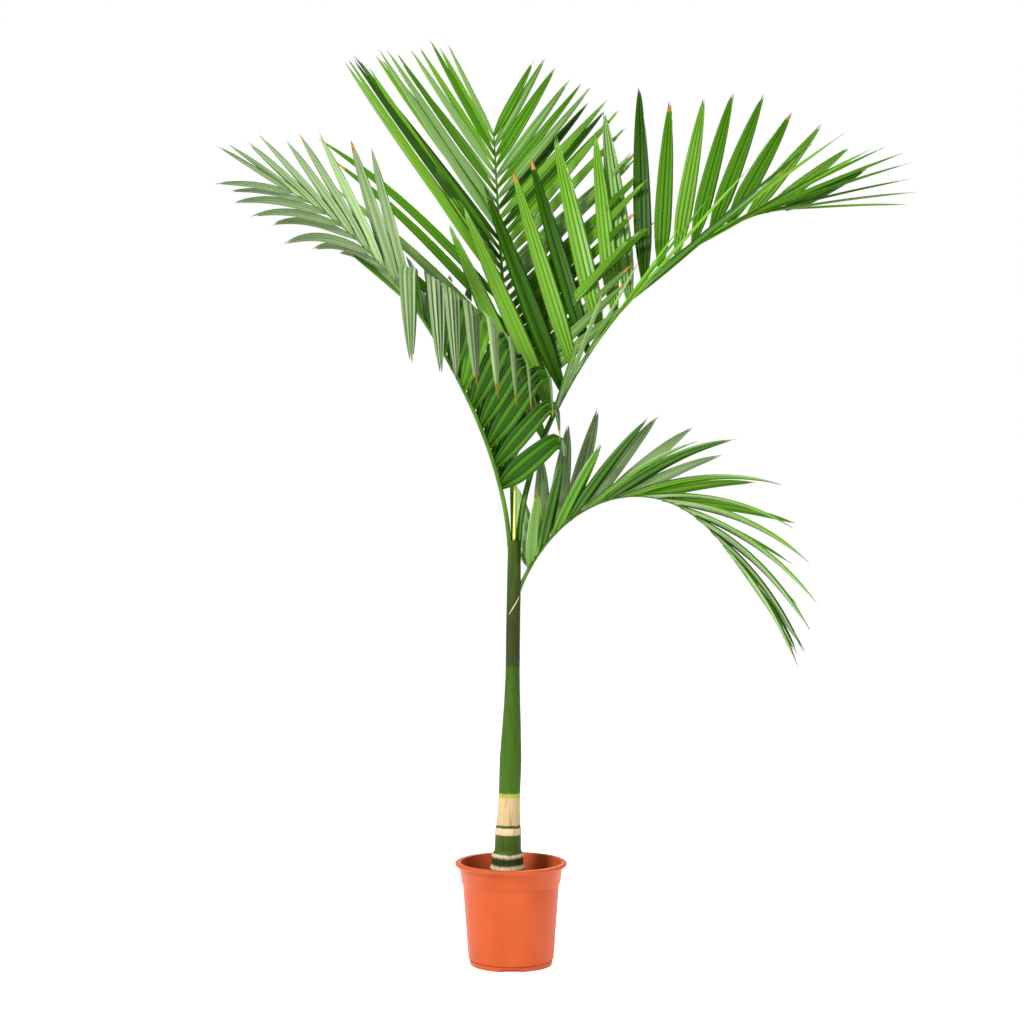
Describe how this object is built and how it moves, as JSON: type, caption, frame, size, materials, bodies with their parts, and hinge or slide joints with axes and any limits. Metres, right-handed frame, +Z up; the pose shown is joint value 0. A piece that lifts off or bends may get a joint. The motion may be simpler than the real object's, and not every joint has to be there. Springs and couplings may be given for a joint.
{
  "type": "potted betel nut palm",
  "caption": "Young betel nut palm with arching feather-shaped fronds on a slim ringed green trunk, standing in a tapered plastic nursery pot.",
  "frame": {"origin": "centre of the pot's flat underside", "axes": "+Z up along the trunk, +X towards the longest frond, -Y towards the side it is seen from in the picture"},
  "size_m": [1.5822, 0.6709, 2.0526],
  "materials": {
    "terracotta_plastic": "satin",
    "soil": "matte",
    "trunk": "satin",
    "spear": "satin",
    "foliage": "satin"
  },
  "bodies": {
    "root": {"pot": "terracotta_plastic", "soil": "soil", "trunk": "trunk", "spear": "spear", "frond_right": "foliage", "frond_back": "foliage", "frond_left": "foliage", "frond_lower_inner": "foliage", "frond_lower_outer": "foliage"}
  },
  "joints": []
}
